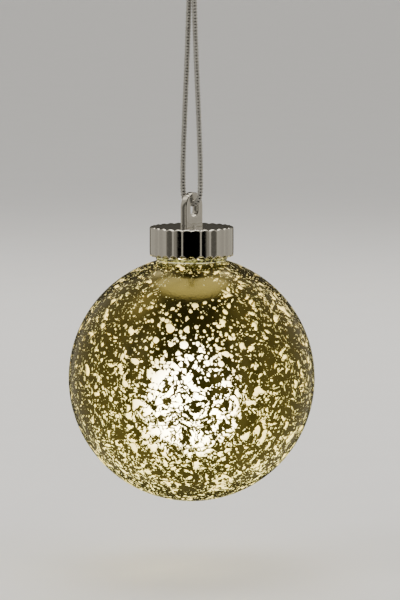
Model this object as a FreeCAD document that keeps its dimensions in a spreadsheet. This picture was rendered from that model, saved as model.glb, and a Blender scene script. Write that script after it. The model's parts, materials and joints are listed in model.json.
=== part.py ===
import FreeCAD, Part
import math
import os

import Sketcher
from FreeCAD import Placement, Rotation, Vector

# A lit glass ball ornament that hangs from a doubled metallic cord.
#
# Millimetres, +Z up. The origin is the middle of the knot that joins the two ends of the cord, the
# point that the ornament hangs from, and everything else is below it. X runs along the width of the
# hanging eye and Y through its slot. Heights called a drop are measured down from the origin.

os.makedirs("parts", exist_ok=True)
doc = FreeCAD.newDocument("ball_ornament")
dims = doc.addObject("Spreadsheet::Sheet", "dims")

DIMENSIONS = (
    ("drop_cap_top", 98.0, "origin down to the cap's flat top"),
    ("drop_ball_centre", 160.0, "origin down to the middle of the ball"),
    ("ball_radius", 50.0, "outside of the blown ball"),
    ("ball_wall", 1.0, "thickness of the blown wall"),
    ("neck_radius", 14.4, "outside of the glass neck"),
    ("neck_wall", 1.25, "thickness of the glass neck"),
    ("neck_rim_drop", 6.0, "cap top down to the rim of the neck"),
    ("neck_fold", 1.6, "radius where the neck turns out into the ball"),
    ("cap_radius", 17.0, "cap over its ridges"),
    ("cap_height", 12.0, "cap from top to skirt"),
    ("cap_roof", 1.4, "thickness of the cap's top"),
    ("cap_bore_radius", 15.5, "inside of the cap's skirt"),
    ("cap_top_chamfer", 0.8, "bevel round the cap's top edge"),
    ("cap_skirt_chamfer", 1.1, "bevel round the cap's lower edge"),
    ("flute_count", 28, "grip flutes round the cap"),
    ("flute_width", 3.6, "one flute across, between narrow ridges"),
    ("flute_depth", 0.15, "depth of a flute"),
    ("rib_outer_radius", 14.9, "sealing rib under the cap's roof, outside"),
    ("rib_inner_radius", 13.2, "sealing rib, inside"),
    ("rib_height", 1.7, "sealing rib below the roof"),
    ("eye_width", 12.5, "hanging eye across"),
    ("eye_height", 13.8, "hanging eye above the cap"),
    ("eye_thickness", 3.0, "hanging eye through"),
    ("eye_bar", 3.2, "bar over the slot, from slot to crown"),
    ("eye_slot_width", 5.6, "slot across"),
    ("eye_slot_sill", 3.8, "slot's lower end above the cap"),
    ("eye_round", 0.8, "rounding of the eye's edges"),
    ("stud_radius", 2.0, "stud under the eye"),
    ("stud_length", 2.4, "stud under the eye"),
    ("clip_radius", 4.4, "push-on clip that holds the stud"),
    ("clip_thickness", 0.6, "push-on clip"),
    ("fit_gap", 0.05, "radial clearance of a fixed fit"),
    ("thread_gap", 0.08, "radial clearance of the screw fit"),
    ("collar_length", 5.2, "threaded collar on the neck"),
    ("collar_top_drop", 6.4, "cap top down to the collar"),
    ("washer_outer_radius", 15.1, "seal washer"),
    ("washer_inner_radius", 12.95, "seal washer"),
    ("washer_thickness", 0.8, "seal washer"),
    ("washer_drop", 3.2, "cap top down to the washer"),
    ("box_flange_radius", 15.2, "battery box flange on the neck's rim"),
    ("box_flange_thickness", 1.95, "battery box flange"),
    ("box_flange_drop", 4.05, "cap top down to the flange"),
    ("box_radius", 13.0, "battery box cup"),
    ("box_wall", 0.95, "battery box cup"),
    ("box_floor", 1.0, "battery box floor"),
    ("box_depth", 9.2, "flange top down to the underside of the floor"),
    ("boss_radius", 1.5, "screw boss in the battery box"),
    ("boss_reach", 10.75, "screw boss from the axis"),
    ("boss_angle", 65.0, "screw boss either side of +X"),
    ("boss_height", 5.0, "screw boss"),
    ("lid_radius", 12.45, "battery box lid"),
    ("lid_thickness", 1.0, "battery box lid"),
    ("screw_shank_radius", 0.6, "lid screw"),
    ("screw_length", 3.6, "lid screw under its head"),
    ("screw_head_radius", 1.25, "lid screw"),
    ("screw_head_height", 0.5, "lid screw"),
    ("cell_radius", 10.0, "coin cell, 20 mm across"),
    ("cell_thickness", 3.2, "coin cell"),
    ("cell_offset", 1.9, "coin cell off the axis, away from the switch"),
    ("cell_drop", 5.5, "cap top down to the coin cell"),
    ("strip_thickness", 0.3, "contact strips"),
    ("strip_width", 4.0, "contact strips"),
    ("board_radius", 11.8, "circuit board"),
    ("board_thickness", 1.0, "circuit board"),
    ("board_drop", 10.4, "cap top down to the circuit board"),
    ("switch_width", 2.8, "slide switch across"),
    ("switch_length", 8.0, "slide switch along its travel"),
    ("switch_height", 4.9, "slide switch above the board"),
    ("switch_offset", 9.8, "slide switch from the axis"),
    ("knob_width", 1.4, "switch knob across"),
    ("knob_length", 2.0, "switch knob along its travel"),
    ("knob_height", 2.9, "switch knob"),
    ("knob_travel", 2.0, "switch knob from off to on"),
    ("knob_gap", 0.2, "clearance round the switch knob"),
    ("knob_foot", 0.9, "depth of the knob in the switch"),
    ("stem_radius", 3.0, "tube that carries the lamp"),
    ("stem_bore", 2.2, "inside of the lamp tube"),
    ("stem_flange_radius", 4.0, "flange of the lamp tube"),
    ("stem_flange_thickness", 0.6, "flange of the lamp tube"),
    ("lead_radius", 0.25, "lamp lead"),
    ("lead_pitch", 2.54, "lamp leads apart"),
    ("led_radius", 2.5, "lamp body"),
    ("led_flange_radius", 2.9, "lamp rim"),
    ("led_length", 7.5, "lamp from rim to dome"),
    ("led_rise", 4.0, "lamp's rim above the middle of the ball"),
    ("globe_radius", 12.5, "diffuser globe"),
    ("globe_wall", 0.9, "diffuser globe"),
    ("globe_sink", 8.0, "globe's middle below the middle of the ball"),
    ("globe_sleeve_radius", 4.0, "sleeve of the diffuser round the lamp tube"),
    ("globe_sleeve_top", 10.0, "sleeve's top above the middle of the ball"),
    ("cord_radius", 1.15, "braided cord"),
    ("cord_gap", 0.4, "cord below the eye's bar"),
    ("cord_half_spread", 4.15, "cord's legs from the axis at the eye"),
    ("knot_half_width", 4.6, "knot"),
    ("knot_half_height", 4.0, "knot"),
    ("tail_length", 9.0, "cord's ends above the knot"),
    ("tail_lean", 14.0, "lean of the cord's ends, in degrees"),
)
for row, (alias, value, meaning) in enumerate(DIMENSIONS, start=1):
    dims.set(f"A{row}", meaning)
    dims.set(f"B{row}", str(value))
    dims.setAlias(f"B{row}", alias)
doc.recompute()

nodes = []


def size(alias):
    """The value of one cell of the sheet, for code that can't use an expression."""
    return float(dims.get(alias))


def sub_part(solid, label):
    """Marks a document object as a sub-part, named as its file is."""
    solid.Label = label
    nodes.append(solid)
    return solid


def place(solid, x=None, y=None, z=None):
    """Binds a solid's position to expressions on the sheet."""
    for axis, expression in (("x", x), ("y", y), ("z", z)):
        if expression:
            solid.setExpression(f"Placement.Base.{axis}", expression)
    return solid


def primitive(kind, name, sizes, x=None, y=None, z=None):
    """A Part primitive whose sizes and place follow the sheet."""
    solid = doc.addObject(f"Part::{kind}", name)
    for prop, expression in sizes.items():
        solid.setExpression(prop, expression)
    return place(solid, x, y, z)


def cylinder(name, radius, height, x=None, y=None, z=None):
    return primitive("Cylinder", name, {"Radius": radius, "Height": height}, x, y, z)


def box(name, length, width, height, x=None, y=None, z=None):
    return primitive("Box", name, {"Length": length, "Width": width, "Height": height}, x, y, z)


def cut(name, base, tool):
    result = doc.addObject("Part::Cut", name)
    result.Base = base
    result.Tool = tool
    return result


def fuse(name, *solids):
    result = doc.addObject("Part::MultiFuse", name)
    result.Shapes = list(solids)
    return result


def body(label, z=None):
    """A PartDesign body that is a sub-part, with its origin at a height on the sheet."""
    result = doc.addObject("PartDesign::Body", label)
    sub_part(result, label)
    return place(result, z=z)


def sketch_on(owner, role, name, offset=None):
    """A sketch on one of a body's own origin planes."""
    plane = next(f for f in owner.Origin.OriginFeatures if f.Role == role)
    sketch = owner.newObject("Sketcher::SketchObject", name)
    sketch.AttachmentSupport = (plane, "")
    sketch.MapMode = "FlatFace"
    if offset:
        sketch.setExpression("AttachmentOffset.Base.z", offset)
    return sketch


def bind(sketch, constraint, expression):
    """Adds a dimension to a sketch and ties it to the sheet."""
    index = sketch.addConstraint(constraint)
    sketch.setExpression(f"Constraints[{index}]", expression)


def circle(sketch, radius, x=None, y=None):
    """A circle about the sketch's origin, or about a point bound to the sheet."""
    ring = sketch.addGeometry(Part.Circle(Vector(0, 0, 0), Vector(0, 0, 1), 1.0))
    bind(sketch, Sketcher.Constraint("Radius", ring, 1.0), radius)
    for kind, axis, expression in (("DistanceX", -2, x), ("DistanceY", -1, y)):
        if expression:
            bind(sketch, Sketcher.Constraint(kind, -1, 1, ring, 3, 1.0), expression)
        else:
            sketch.addConstraint(Sketcher.Constraint("PointOnObject", ring, 3, axis))


def rectangle(sketch, left, right, low, high):
    """A rectangle whose four sides are bound to the sheet."""
    corners = [Vector(0, 0, 0), Vector(2, 0, 0), Vector(2, 1, 0), Vector(0, 1, 0)]
    ends = zip(corners, corners[1:] + corners[:1])
    sides = [sketch.addGeometry(Part.LineSegment(a, b)) for a, b in ends]
    for side, following in zip(sides, sides[1:] + sides[:1]):
        sketch.addConstraint(Sketcher.Constraint("Coincident", side, 2, following, 1))
    for index, kind in enumerate(("Horizontal", "Vertical", "Horizontal", "Vertical")):
        sketch.addConstraint(Sketcher.Constraint(kind, sides[index]))
    bind(sketch, Sketcher.Constraint("DistanceX", -1, 1, sides[0], 1, 0.0), left)
    bind(sketch, Sketcher.Constraint("DistanceX", -1, 1, sides[0], 2, 2.0), right)
    bind(sketch, Sketcher.Constraint("DistanceY", -1, 1, sides[0], 1, 0.0), low)
    bind(sketch, Sketcher.Constraint("DistanceY", -1, 1, sides[2], 1, 1.0), high)


def arch(sketch, half_width, high):
    """An upright outline that stands on the axis, with a half-round top."""
    w, z0, z1 = 2.0, 0.5, 6.0
    crown_circle = Part.Circle(Vector(0, z1, 0), Vector(0, 0, 1), w)
    crown = sketch.addGeometry(Part.ArcOfCircle(crown_circle, 0, math.pi))
    right = sketch.addGeometry(Part.LineSegment(Vector(w, z0, 0), Vector(w, z1, 0)))
    left = sketch.addGeometry(Part.LineSegment(Vector(-w, z1, 0), Vector(-w, z0, 0)))
    foot = sketch.addGeometry(Part.LineSegment(Vector(-w, z0, 0), Vector(w, z0, 0)))
    sketch.addConstraint(Sketcher.Constraint("Tangent", right, 2, crown, 1))
    sketch.addConstraint(Sketcher.Constraint("Tangent", crown, 2, left, 1))
    sketch.addConstraint(Sketcher.Constraint("Coincident", left, 2, foot, 1))
    sketch.addConstraint(Sketcher.Constraint("Coincident", foot, 2, right, 1))
    sketch.addConstraint(Sketcher.Constraint("Vertical", right))
    sketch.addConstraint(Sketcher.Constraint("Horizontal", foot))
    sketch.addConstraint(Sketcher.Constraint("PointOnObject", crown, 3, -2))
    bind(sketch, Sketcher.Constraint("Radius", crown, w), half_width)
    crown_height = Sketcher.Constraint("DistanceY", -1, 1, crown, 3, z1)
    bind(sketch, crown_height, f"{high} - {half_width}")
    sketch.addConstraint(Sketcher.Constraint("PointOnObject", foot, 1, -1))


def upright_slot(sketch, half_width, high, low):
    """An upright outline on the middle line, with half-round ends."""
    w, z0, z1 = 2.0, 2.5, 6.0
    top_circle = Part.Circle(Vector(0, z1, 0), Vector(0, 0, 1), w)
    foot_circle = Part.Circle(Vector(0, z0, 0), Vector(0, 0, 1), w)
    top = sketch.addGeometry(Part.ArcOfCircle(top_circle, 0, math.pi))
    foot = sketch.addGeometry(Part.ArcOfCircle(foot_circle, math.pi, 2 * math.pi))
    right = sketch.addGeometry(Part.LineSegment(Vector(w, z0, 0), Vector(w, z1, 0)))
    left = sketch.addGeometry(Part.LineSegment(Vector(-w, z1, 0), Vector(-w, z0, 0)))
    sketch.addConstraint(Sketcher.Constraint("Tangent", right, 2, top, 1))
    sketch.addConstraint(Sketcher.Constraint("Tangent", top, 2, left, 1))
    sketch.addConstraint(Sketcher.Constraint("Tangent", left, 2, foot, 1))
    sketch.addConstraint(Sketcher.Constraint("Tangent", foot, 2, right, 1))
    sketch.addConstraint(Sketcher.Constraint("Vertical", right))
    sketch.addConstraint(Sketcher.Constraint("PointOnObject", top, 3, -2))
    bind(sketch, Sketcher.Constraint("Radius", top, w), half_width)
    top_height = Sketcher.Constraint("DistanceY", -1, 1, top, 3, z1)
    bind(sketch, top_height, f"{high} - {half_width}")
    foot_height = Sketcher.Constraint("DistanceY", -1, 1, foot, 3, z0)
    bind(sketch, foot_height, f"{low} + {half_width}")


def pad(owner, sketch, name, length, reverse=False, midplane=False):
    feature = owner.newObject("PartDesign::Pad", name)
    feature.Profile = sketch
    feature.setExpression("Length", length)
    feature.Reversed = reverse
    feature.Midplane = midplane
    owner.Tip = feature
    return feature


def pocket(owner, sketch, name, length=None, reverse=False, midplane=False):
    """Cuts a sketch out of a body, and stops if nothing came off."""
    doc.recompute()
    before = owner.Shape.Volume
    feature = owner.newObject("PartDesign::Pocket", name)
    feature.Profile = sketch
    if length:
        feature.setExpression("Length", length)
    else:
        feature.Type = "ThroughAll"
    feature.Reversed = reverse
    feature.Midplane = midplane
    owner.Tip = feature
    doc.recompute()
    if owner.Shape.Volume > before - 1e-6:
        raise ValueError(f"{name} cuts nothing")
    return feature


def polar_pattern(owner, feature, sketch, name, count):
    pattern = owner.newObject("PartDesign::PolarPattern", name)
    pattern.Originals = [feature]
    pattern.Axis = (sketch, ["N_Axis"])
    pattern.Angle = 360
    pattern.setExpression("Occurrences", count)
    owner.Tip = pattern
    return pattern


def is_ring(edge):
    """True for a circular edge, and false for a sphere's pole."""
    return not edge.Degenerated and isinstance(edge.Curve, Part.Circle)


def edges_where(feature, test):
    """The names of a feature's edges that pass a test."""
    return [f"Edge{i}" for i, e in enumerate(feature.Shape.Edges, 1) if test(e)]


def dress(owner, kind, name, base, edges, value):
    """A PartDesign fillet or chamfer on named edges."""
    feature = owner.newObject(f"PartDesign::{kind}", name)
    feature.Base = (base, edges)
    feature.setExpression("Radius" if kind == "Fillet" else "Size", value)
    owner.Tip = feature
    return feature


CAP_TOP = "-dims.drop_cap_top"
BALL_CENTRE = "-dims.drop_ball_centre"
NECK_BORE = "dims.neck_radius - dims.neck_wall"


def make_glass_ball():
    """The blown ball and its neck, open at the rim."""
    neck_height = "dims.drop_ball_centre - dims.drop_cap_top - dims.neck_rim_drop"
    ball = primitive("Sphere", "ball_outside", {"Radius": "dims.ball_radius"})
    neck = cylinder("neck_outside", "dims.neck_radius", neck_height)
    outside = fuse("blown_outside", ball, neck)
    doc.recompute()
    join = [
        i
        for i, edge in enumerate(outside.Shape.Edges, 1)
        if is_ring(edge) and 0 < edge.Curve.Center.z < size("ball_radius")
    ]
    folded = doc.addObject("Part::Fillet", "neck_fold")
    folded.Base = outside
    folded.Edges = [(i, size("neck_fold"), size("neck_fold")) for i in join]
    hollow = fuse(
        "blown_hollow",
        primitive("Sphere", "ball_inside", {"Radius": "dims.ball_radius - dims.ball_wall"}),
        cylinder("neck_inside", NECK_BORE, f"{neck_height} + 1"),
    )
    glass = cut("glass", folded, hollow)
    sub_part(place(glass, z=BALL_CENTRE), "glass_ball")


def make_neck_collar():
    """The screw collar cemented round the glass neck."""
    outside = cylinder(
        "collar_outside", "dims.cap_bore_radius - dims.thread_gap", "dims.collar_length"
    )
    inside = cylinder("collar_inside", "dims.neck_radius + dims.fit_gap", "dims.collar_length")
    collar = cut("collar", outside, inside)
    height = f"{CAP_TOP} - dims.collar_top_drop - dims.collar_length"
    sub_part(place(collar, z=height), "neck_collar")


def make_cap():
    """The fluted screw cap, with a sealing rib under its roof and a hole for the eye's stud."""
    cap = body("cap_shell", z=f"{CAP_TOP} - dims.cap_height")
    outline = sketch_on(cap, "XY_Plane", "cap_outline")
    circle(outline, "dims.cap_radius")
    drum = pad(cap, outline, "cap_drum", "dims.cap_height")
    doc.recompute()

    def at(z):
        return lambda edge: is_ring(edge) and abs(edge.Curve.Center.z - z) < 1e-6

    top = edges_where(drum, at(size("cap_height")))
    bevelled = dress(cap, "Chamfer", "top_bevel", drum, top, "dims.cap_top_chamfer")
    doc.recompute()
    skirt = edges_where(bevelled, at(0.0))
    dress(cap, "Chamfer", "skirt_bevel", bevelled, skirt, "dims.cap_skirt_chamfer")
    doc.recompute()

    # a flute is the arc of a circle that stands outside the cap
    cutter = "(dims.flute_width^2 / (8 * dims.flute_depth) + dims.flute_depth / 2)"
    flute = sketch_on(cap, "XY_Plane", "flute_outline")
    circle(flute, cutter, x=f"dims.cap_radius - dims.flute_depth + {cutter}")
    groove = pocket(cap, flute, "flute", reverse=True)
    polar_pattern(cap, groove, flute, "flutes", "dims.flute_count")
    doc.recompute()

    hollow = sketch_on(cap, "XY_Plane", "hollow_outline")
    circle(hollow, "dims.cap_bore_radius")
    pocket(cap, hollow, "hollow", "dims.cap_height - dims.cap_roof", reverse=True)
    rib = sketch_on(cap, "XY_Plane", "rib_outline", "dims.cap_height - dims.cap_roof")
    circle(rib, "dims.rib_outer_radius")
    circle(rib, "dims.rib_inner_radius")
    pad(cap, rib, "sealing_rib", "dims.rib_height", reverse=True)
    stud_hole = sketch_on(cap, "XY_Plane", "stud_hole_outline")
    circle(stud_hole, "dims.stud_radius + dims.fit_gap")
    pocket(cap, stud_hole, "stud_hole", reverse=True)


def make_hanging_eye():
    """The arched eye on top of the cap, rounded on both faces, with its stud below."""
    eye = body("hanging_eye", z=CAP_TOP)
    outline = sketch_on(eye, "XZ_Plane", "eye_outline")
    arch(outline, "dims.eye_width / 2", "dims.eye_height")
    pad(eye, outline, "eye_plate", "dims.eye_thickness", midplane=True)
    slot = sketch_on(eye, "XZ_Plane", "slot_outline")
    slot_top = "(dims.eye_height - dims.eye_bar)"
    upright_slot(slot, "dims.eye_slot_width / 2", slot_top, "dims.eye_slot_sill")
    slotted = pocket(eye, slot, "slot", midplane=True)
    face = size("eye_thickness") / 2

    def on_a_face(edge):
        """True for the outline and the slot on either broad face, the foot apart."""
        ends = edge.Vertexes
        return all(abs(abs(v.Y) - face) < 1e-6 for v in ends) and max(v.Z for v in ends) > 1e-6

    rims = edges_where(slotted, on_a_face)
    dress(eye, "Fillet", "eye_rounding", slotted, rims, "dims.eye_round")
    stud = sketch_on(eye, "XY_Plane", "stud_outline")
    circle(stud, "dims.stud_radius")
    pad(eye, stud, "stud", "dims.stud_length", reverse=True)


def make_eye_clip():
    """The push-on clip that grips the eye's stud under the cap's roof."""
    height = f"{CAP_TOP} - dims.cap_roof - dims.clip_thickness"
    disc = cylinder("clip_disc", "dims.clip_radius", "dims.clip_thickness")
    hole = cylinder("clip_hole", "dims.stud_radius", "dims.clip_thickness")
    sub_part(place(cut("clip", disc, hole), z=height), "eye_clip")


def make_seal_washer():
    """The rubber washer between the cap's rib and the battery box."""
    disc = cylinder("washer_disc", "dims.washer_outer_radius", "dims.washer_thickness")
    hole = cylinder("washer_hole", "dims.washer_inner_radius", "dims.washer_thickness")
    height = f"{CAP_TOP} - dims.washer_drop - dims.washer_thickness"
    sub_part(place(cut("washer", disc, hole), z=height), "seal_washer")


def boss_places():
    """Where the two lid screws stand, as expressions for x and y."""
    x = "dims.boss_reach * cos(dims.boss_angle)"
    y = "dims.boss_reach * sin(dims.boss_angle)"
    return (("left", x, f"-({y})"), ("right", x, y))


def make_battery_box():
    """The cup that hangs in the neck by its flange, with two screw bosses inside."""
    box_body = body("battery_box", z=f"{CAP_TOP} - dims.box_flange_drop - dims.box_depth")
    cup = sketch_on(box_body, "XY_Plane", "cup_outline")
    circle(cup, "dims.box_radius")
    pad(box_body, cup, "cup", "dims.box_depth")
    flange_foot = "dims.box_depth - dims.box_flange_thickness"
    flange = sketch_on(box_body, "XY_Plane", "flange_outline", flange_foot)
    circle(flange, "dims.box_flange_radius")
    pad(box_body, flange, "flange", "dims.box_flange_thickness")
    recess = sketch_on(box_body, "XY_Plane", "recess_outline", "dims.box_depth - dims.lid_thickness")
    circle(recess, "dims.lid_radius + dims.fit_gap")
    pocket(box_body, recess, "lid_recess", "dims.lid_thickness", reverse=True)
    well = sketch_on(box_body, "XY_Plane", "well_outline", "dims.box_floor")
    circle(well, "dims.box_radius - dims.box_wall")
    pocket(box_body, well, "well", "dims.box_depth", reverse=True)
    for side, x, y in boss_places():
        foot = "dims.box_depth - dims.lid_thickness - dims.boss_height"
        boss = sketch_on(box_body, "XY_Plane", f"boss_outline_{side}", foot)
        circle(boss, "dims.boss_radius", x, y)
        pad(box_body, boss, f"boss_{side}", "dims.boss_height")
        hole = sketch_on(box_body, "XY_Plane", f"boss_hole_outline_{side}", foot)
        circle(hole, "dims.screw_shank_radius", x, y)
        pocket(box_body, hole, f"boss_hole_{side}", "dims.boss_height", reverse=True)
    stem_hole = sketch_on(box_body, "XY_Plane", "stem_hole_outline")
    circle(stem_hole, "dims.stem_radius + dims.fit_gap")
    pocket(box_body, stem_hole, "stem_hole", reverse=True)


def make_box_lid():
    """The lid over the coin cell, with two screw holes and the switch's window."""
    lid = body("box_lid", z=f"{CAP_TOP} - dims.box_flange_drop - dims.lid_thickness")
    outline = sketch_on(lid, "XY_Plane", "lid_outline")
    circle(outline, "dims.lid_radius")
    pad(lid, outline, "lid_disc", "dims.lid_thickness")
    for side, x, y in boss_places():
        hole = sketch_on(lid, "XY_Plane", f"lid_hole_outline_{side}")
        circle(hole, "dims.screw_shank_radius + dims.fit_gap", x, y)
        pocket(lid, hole, f"lid_hole_{side}", reverse=True)
    window = sketch_on(lid, "XY_Plane", "window_outline")
    half_window = "(dims.knob_width / 2 + dims.knob_gap)"
    rectangle(
        window,
        f"dims.switch_offset - {half_window}",
        f"dims.switch_offset + {half_window}",
        "-dims.knob_length - dims.knob_gap",
        "dims.knob_travel + dims.knob_gap",
    )
    pocket(lid, window, "switch_window", reverse=True)


def make_lid_screws():
    """The two screws that hold the lid."""
    screws = []
    for side, x, y in boss_places():
        shank = cylinder(
            f"shank_{side}", "dims.screw_shank_radius - dims.fit_gap / 2", "dims.screw_length"
        )
        head = cylinder(
            f"head_{side}",
            "dims.screw_head_radius",
            "dims.screw_head_height",
            z="dims.screw_length",
        )
        screws.append(place(fuse(f"screw_{side}", shank, head), x, y))
    pair = doc.addObject("Part::Compound", "screw_pair")
    pair.Links = screws
    place(pair, z=f"{CAP_TOP} - dims.box_flange_drop - dims.screw_length")
    sub_part(pair, "lid_screws")


def make_coin_cell():
    """The coin cell: a can with a narrower face below its crimped edge."""
    step = 0.3
    can = cylinder(
        "cell_can", "dims.cell_radius", f"dims.cell_thickness - {step}", z=f"{step}"
    )
    face = cylinder("cell_face", "dims.cell_radius - 1.2", f"{step}")
    cell = fuse("cell", can, face)
    height = f"{CAP_TOP} - dims.cell_drop - dims.cell_thickness"
    sub_part(place(cell, x="-dims.cell_offset", z=height), "coin_cell")


def make_contact_strip():
    """The positive strip: flat under the lid, then down past the cell's edge to the board."""
    reach = "(dims.cell_radius + 0.9)"
    drop = "(dims.board_drop - dims.box_flange_drop - dims.lid_thickness)"
    flat = box(
        "strip_flat",
        "dims.strip_width",
        f"{reach} + dims.strip_thickness",
        "dims.strip_thickness",
        z=f"{drop} - dims.strip_thickness",
    )
    leg = box("strip_leg", "dims.strip_width", "dims.strip_thickness", drop)
    strip = fuse("strip", flat, leg)
    place(
        strip,
        x="-dims.cell_offset - dims.strip_width / 2",
        y=f"-{reach} - dims.strip_thickness",
        z=f"{CAP_TOP} - dims.board_drop",
    )
    sub_part(strip, "contact_strip")


def make_contact_spring():
    """The negative leaf spring: a strip on the board whose tongue rises to the cell."""
    strip = size("strip_thickness")
    rise = size("board_drop") - size("cell_drop") - size("cell_thickness") - size("fit_gap")
    half_length = 5.0
    fold = 0.6
    outline = [
        Vector(-half_length, 0, 0),
        Vector(half_length, 0, 0),
        Vector(half_length, 0, strip),
        Vector(fold - half_length, 0, strip),
        Vector(half_length - fold, 0, rise - strip),
        Vector(half_length - fold, 0, rise),
        Vector(half_length - 2 * fold, 0, rise),
        Vector(-half_length, 0, strip),
    ]
    face = Part.Face(Part.makePolygon(outline + outline[:1]))
    spring = doc.addObject("Part::Feature", "spring")
    spring.Shape = face.extrude(Vector(0, size("strip_width"), 0))
    spring.Placement = Placement(
        Vector(
            -size("cell_offset"),
            -size("strip_width") / 2,
            -size("drop_cap_top") - size("board_drop"),
        ),
        Rotation(),
    )
    sub_part(spring, "contact_spring")


def make_circuit_board():
    """The round board under the cell, drilled for the lamp's leads."""
    board = body("circuit_board", z=f"{CAP_TOP} - dims.board_drop - dims.board_thickness")
    outline = sketch_on(board, "XY_Plane", "board_outline")
    circle(outline, "dims.board_radius")
    pad(board, outline, "board_disc", "dims.board_thickness")
    for side, x in (("left", "-dims.lead_pitch / 2"), ("right", "dims.lead_pitch / 2")):
        hole = sketch_on(board, "XY_Plane", f"lead_hole_outline_{side}")
        circle(hole, "dims.lead_radius + dims.fit_gap", x)
        pocket(board, hole, f"lead_hole_{side}", reverse=True)


def make_board_parts():
    """The timer chip and the resistor under the board."""
    for label, length, width, height, x in (
        ("timer_chip", 4.0, 5.0, 0.8, -9.5),
        ("resistor", 3.2, 1.6, 0.6, 5.4),
    ):
        part = box(f"{label}_body", str(length), str(width), str(height))
        z = f"{CAP_TOP} - dims.board_drop - dims.board_thickness - {height}"
        place(part, x=str(x), y=str(-width / 2), z=z)
        sub_part(part, label)


def make_switch():
    """The slide switch on the board, with its knob in a channel of its own."""
    half_channel = "(dims.knob_width / 2 + dims.knob_gap)"
    case = body("switch_body", z=f"{CAP_TOP} - dims.board_drop")
    outline = sketch_on(case, "XY_Plane", "case_outline")
    rectangle(
        outline,
        "dims.switch_offset - dims.switch_width / 2",
        "dims.switch_offset + dims.switch_width / 2",
        "-dims.switch_length / 2",
        "dims.switch_length / 2",
    )
    pad(case, outline, "case", "dims.switch_height")
    channel = sketch_on(case, "XY_Plane", "channel_outline", "dims.switch_height")
    rectangle(
        channel,
        f"dims.switch_offset - {half_channel}",
        f"dims.switch_offset + {half_channel}",
        "-dims.knob_length - dims.knob_gap",
        "dims.knob_travel + dims.knob_gap",
    )
    pocket(case, channel, "channel", "dims.knob_foot + dims.knob_gap")

    knob = box("knob", "dims.knob_width", "dims.knob_length", "dims.knob_height")
    place(
        knob,
        x="dims.switch_offset - dims.knob_width / 2",
        y="-dims.knob_length",
        z=f"{CAP_TOP} - dims.board_drop + dims.switch_height - dims.knob_foot",
    )
    sub_part(knob, "switch_knob")


def make_lamp():
    """The lamp on its tube, its leads and the frosted globe over it."""
    seat = "dims.drop_cap_top + dims.box_flange_drop + dims.box_depth - dims.box_floor"
    rise = f"(dims.drop_ball_centre - ({seat}))"
    tube = cylinder("stem_tube", "dims.stem_radius", f"{rise} - dims.led_rise")
    flange = cylinder(
        "stem_flange",
        "dims.stem_flange_radius",
        "dims.stem_flange_thickness",
        z=f"{rise} - dims.led_rise",
    )
    bore = cylinder("stem_bore", "dims.stem_bore", rise)
    stem = cut("stem", fuse("stem_outside", tube, flange), bore)
    sub_part(place(stem, z=f"{BALL_CENTRE} + dims.led_rise"), "lamp_stem")

    length = "dims.drop_ball_centre - dims.drop_cap_top - dims.board_drop - dims.led_rise"
    leads = []
    for side, x in (("left", "-dims.lead_pitch / 2"), ("right", "dims.lead_pitch / 2")):
        leads.append(cylinder(f"lead_{side}", "dims.lead_radius", length, x=x))
    pair = doc.addObject("Part::Compound", "lead_pair")
    pair.Links = leads
    sub_part(place(pair, z=f"{BALL_CENTRE} + dims.led_rise"), "lamp_leads")

    shank = "(dims.led_length - dims.led_radius)"
    lamp = fuse(
        "lamp",
        cylinder("lamp_rim", "dims.led_flange_radius", "1", z="-1"),
        cylinder("lamp_shank", "dims.led_radius", shank, z=f"-{shank}"),
        primitive("Sphere", "lamp_dome", {"Radius": "dims.led_radius"}, z=f"-{shank}"),
    )
    sub_part(place(lamp, z=f"{BALL_CENTRE} + dims.led_rise"), "lamp_led")

    sleeve_height = "dims.globe_sleeve_top + dims.globe_sink"
    outside = fuse(
        "globe_outside",
        primitive("Sphere", "globe_ball", {"Radius": "dims.globe_radius"}),
        cylinder("globe_sleeve", "dims.globe_sleeve_radius", sleeve_height),
    )
    inside = fuse(
        "globe_inside",
        primitive("Sphere", "globe_hollow", {"Radius": "dims.globe_radius - dims.globe_wall"}),
        cylinder("globe_bore", "dims.stem_radius + dims.fit_gap", f"{sleeve_height} + 1"),
    )
    globe = cut("globe", outside, inside)
    sub_part(place(globe, z=f"{BALL_CENTRE} - dims.globe_sink"), "diffuser")


def rounded_path(points):
    """Straight runs joined by tangent arcs, each as large as its two runs allow."""
    share = 0.45
    edges = []
    start = points[0]
    for before, corner, after in zip(points, points[1:], points[2:]):
        back = (before - corner).normalize()
        ahead = (after - corner).normalize()
        half_turn = (math.pi - back.getAngle(ahead)) / 2
        cut_back = share * min((before - corner).Length, (after - corner).Length)
        radius = cut_back / math.tan(half_turn)
        print(f"cord turns {math.degrees(2 * half_turn):5.1f} degrees at radius {radius:7.1f}")
        first = corner + back * cut_back
        last = corner + ahead * cut_back
        middle = (back + ahead).normalize()
        crest = corner + middle * (radius / math.cos(half_turn) - radius)
        edges.append(Part.LineSegment(start, first).toShape())
        edges.append(Part.Arc(first, crest, last).toShape())
        start = last
    edges.append(Part.LineSegment(start, points[-1]).toShape())
    return Part.Wire(edges)


def cord_route():
    """The cord from the knot down its front leg, under the eye's bar and back up, in Y and Z.

    The weight pulls the legs straight, and the cord's own stiffness holds them apart at the eye.
    """
    bar = size("eye_height") - size("eye_bar") / 2 - size("drop_cap_top")
    sill = bar - size("eye_bar") / 2 - size("cord_gap") - size("cord_radius")
    spread = size("cord_half_spread")
    bend = spread * math.tan(math.pi / 8)
    leg = (
        (1.22, 0.6 - size("knot_half_height")),
        (1.3, -12.0),
        (3.95, -66.0),
        (spread, -75.0),
        (spread, sill + spread - bend),
        (bend, sill),
    )
    down = [Vector(0, -y, z) for y, z in leg]
    up = [Vector(0, y, z) for y, z in reversed(leg)]
    return down + up


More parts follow.
